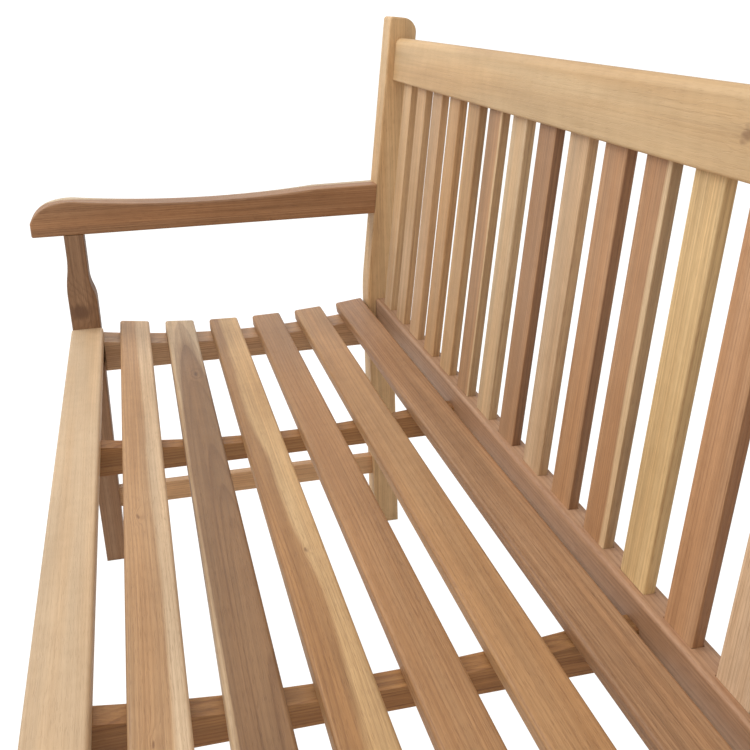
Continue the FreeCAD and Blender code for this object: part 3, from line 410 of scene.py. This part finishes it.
PALE_FROM = 0.53          # red of the heartwood above which a slat counts as pale
# painted shade for the back slats' side faces, a lighter one for pale slats and a deeper
# one for brown slats
PALE_SIDE_SHADE = (0.82, 0.76, 0.68)
BROWN_SIDE_SHADE = (0.58, 0.50, 0.42)
FIRST_BACK_SEED, BACK_SEED_STEP = 30, 1.7
for index, (heart, sap_start) in enumerate(BACK):
    pith_at_left = index % 2 == 0 or sap_start < ALL_HEART
    teak(f"back_slat_{index + 1:02d}", "leaning",
         FIRST_BACK_SEED + index * BACK_SEED_STEP, **tones(heart),
         Pith=(0, -70 if pith_at_left else 64, -40), SapStart=sap_start,
         painted_side_shade=PALE_SIDE_SHADE if heart[0] > PALE_FROM else BROWN_SIDE_SHADE)
teak("tenon_pegs", "deep", 70, **tones((0.46, 0.27, 0.14)))


# ------------------------------------------------------------------------- steel

STEEL_GRAIN = 900.0       # noise cells to a metre
STEEL_TONES = ((0.50, 0.50, 0.49, 1), (0.66, 0.66, 0.64, 1))
STEEL_ROUGHNESS = (0.28, 0.42)


def steel(node):
    material, g, shader = fresh_material(f"steel_{node}")
    place = g.node("ShaderNodeTexCoord").outputs["Object"]
    cloud = g.noise(g.vector("SCALE", place, STEEL_GRAIN), 3.0)
    g.feed(shader.inputs["Base Color"], g.blend(cloud, *STEEL_TONES))
    g.feed(shader.inputs["Roughness"], g.ease(cloud, 0.3, 0.7, *STEEL_ROUGHNESS))
    shader.inputs["Metallic"].default_value = 1.0
    dress(node, material)


for name in ("slat_screws", "front_slat_screws", "bearer_screws", "frame_bolts",
             "barrel_nuts"):
    steel(name)


# ------------------------------------------------------------------------- stage

FLOOR_SIZE = 60           # m
FLOOR_DROP = 0.0005       # m below the feet
BACKDROP_GLOW = 1.2       # what the camera sees of the floor and the backdrop
FLOOR_GLOW_SHARE = 0.86
SKY_STRENGTH = 0.56


def make_floor():
    """A pale floor that the camera sees about as bright as the backdrop."""
    half = FLOOR_SIZE / 2
    corners = ((-half, -half), (half, -half), (half, half), (-half, half))
    mesh = bpy.data.meshes.new("studio_floor")
    mesh.from_pydata([(x, y, -FLOOR_DROP) for x, y in corners], [], [(0, 1, 2, 3)])
    plane = bpy.data.objects.new("studio_floor", mesh)
    scene.collection.objects.link(plane)
    material, g, shader = fresh_material("studio_floor")
    shader.inputs["Base Color"].default_value = (0.86, 0.855, 0.84, 1)
    shader.inputs["Roughness"].default_value = 0.9
    shader.inputs["Specular IOR Level"].default_value = 0.1
    glow = g.node("ShaderNodeEmission", {"Color": WHITE, "Strength": BACKDROP_GLOW})
    seen = g.node("ShaderNodeLightPath").outputs["Is Camera Ray"]
    surface = g.mix_shaders(g.product(seen, FLOOR_GLOW_SHARE), shader.outputs[0],
                            glow.outputs[0])
    g.feed(g.tree.nodes["Material Output"].inputs["Surface"], surface)
    plane.data.materials.append(material)
    return plane


floor = make_floor()


def make_world():
    """Soft light from all round, seen by the camera as plain white."""
    world = bpy.data.worlds.new("studio")
    scene.world = world
    world.use_nodes = True
    world.node_tree.nodes.clear()
    g = Graph(world.node_tree)
    sky = g.node("ShaderNodeBackground", {
        "Color": (1, 0.99, 0.975, 1), "Strength": SKY_STRENGTH})
    backdrop = g.node("ShaderNodeBackground", {
        "Color": WHITE, "Strength": BACKDROP_GLOW})
    seen = g.node("ShaderNodeLightPath").outputs["Is Camera Ray"]
    g.node("ShaderNodeOutputWorld", {
        "Surface": g.mix_shaders(seen, sky.outputs[0], backdrop.outputs[0])})


make_world()


def area_light(name, place, target, size, power, colour):
    """A square light, in metres and watts, aimed at the target."""
    lamp = bpy.data.lights.new(name, "AREA")
    lamp.shape = "SQUARE"
    lamp.size = size
    lamp.energy = power
    lamp.color = colour
    thing = bpy.data.objects.new(name, lamp)
    scene.collection.objects.link(thing)
    thing.location = place
    aim = Vector(target) - Vector(place)
    thing.rotation_euler = aim.to_track_quat("-Z", "Y").to_euler()


area_light("key", (-2.0, -2.7, 3.1), (0, 0, 0.45), 2.0, 76, (1, 0.985, 0.965))
area_light("fill", (2.6, -1.3, 1.7), (0, 0, 0.5), 2.4, 20, (1, 0.97, 0.93))
area_light("sheen", (-3.2, 0.1, 1.5), (-0.4, 0, 0.43), 1.8, 10, (1, 0.99, 0.97))
area_light("top", (0.3, -0.2, 3.4), (0, 0, 0.4), 2.4, 30, (1, 0.99, 0.98))


# ------------------------------------------------------------------------ camera

SENSOR, LENS, FAR = 36, 48.577, 100    # mm, mm and m
SHIFT = (-0.0232, 0.0140)
EYE = (0.94937, -0.14748, 0.93494)     # m
RIGHT = (0.24831, 0.96843, -0.02200)
FORWARD = (-0.90507, 0.22385, -0.36158)


def make_camera():
    """Beyond the right arm at back height, looking down the seat to the left end."""
    lens = bpy.data.cameras.new("view")
    lens.sensor_width = SENSOR
    lens.lens = LENS
    lens.shift_x, lens.shift_y = SHIFT
    lens.clip_end = FAR
    camera = bpy.data.objects.new("view", lens)
    scene.collection.objects.link(camera)
    right = Vector(RIGHT).normalized()
    forward = Vector(FORWARD).normalized()
    turn = Matrix((right, right.cross(forward), -forward)).transposed()
    camera.matrix_world = Matrix.Translation(EYE) @ turn.to_4x4()
    return camera


scene.camera = make_camera()
scene.view_settings.view_transform = "Standard"
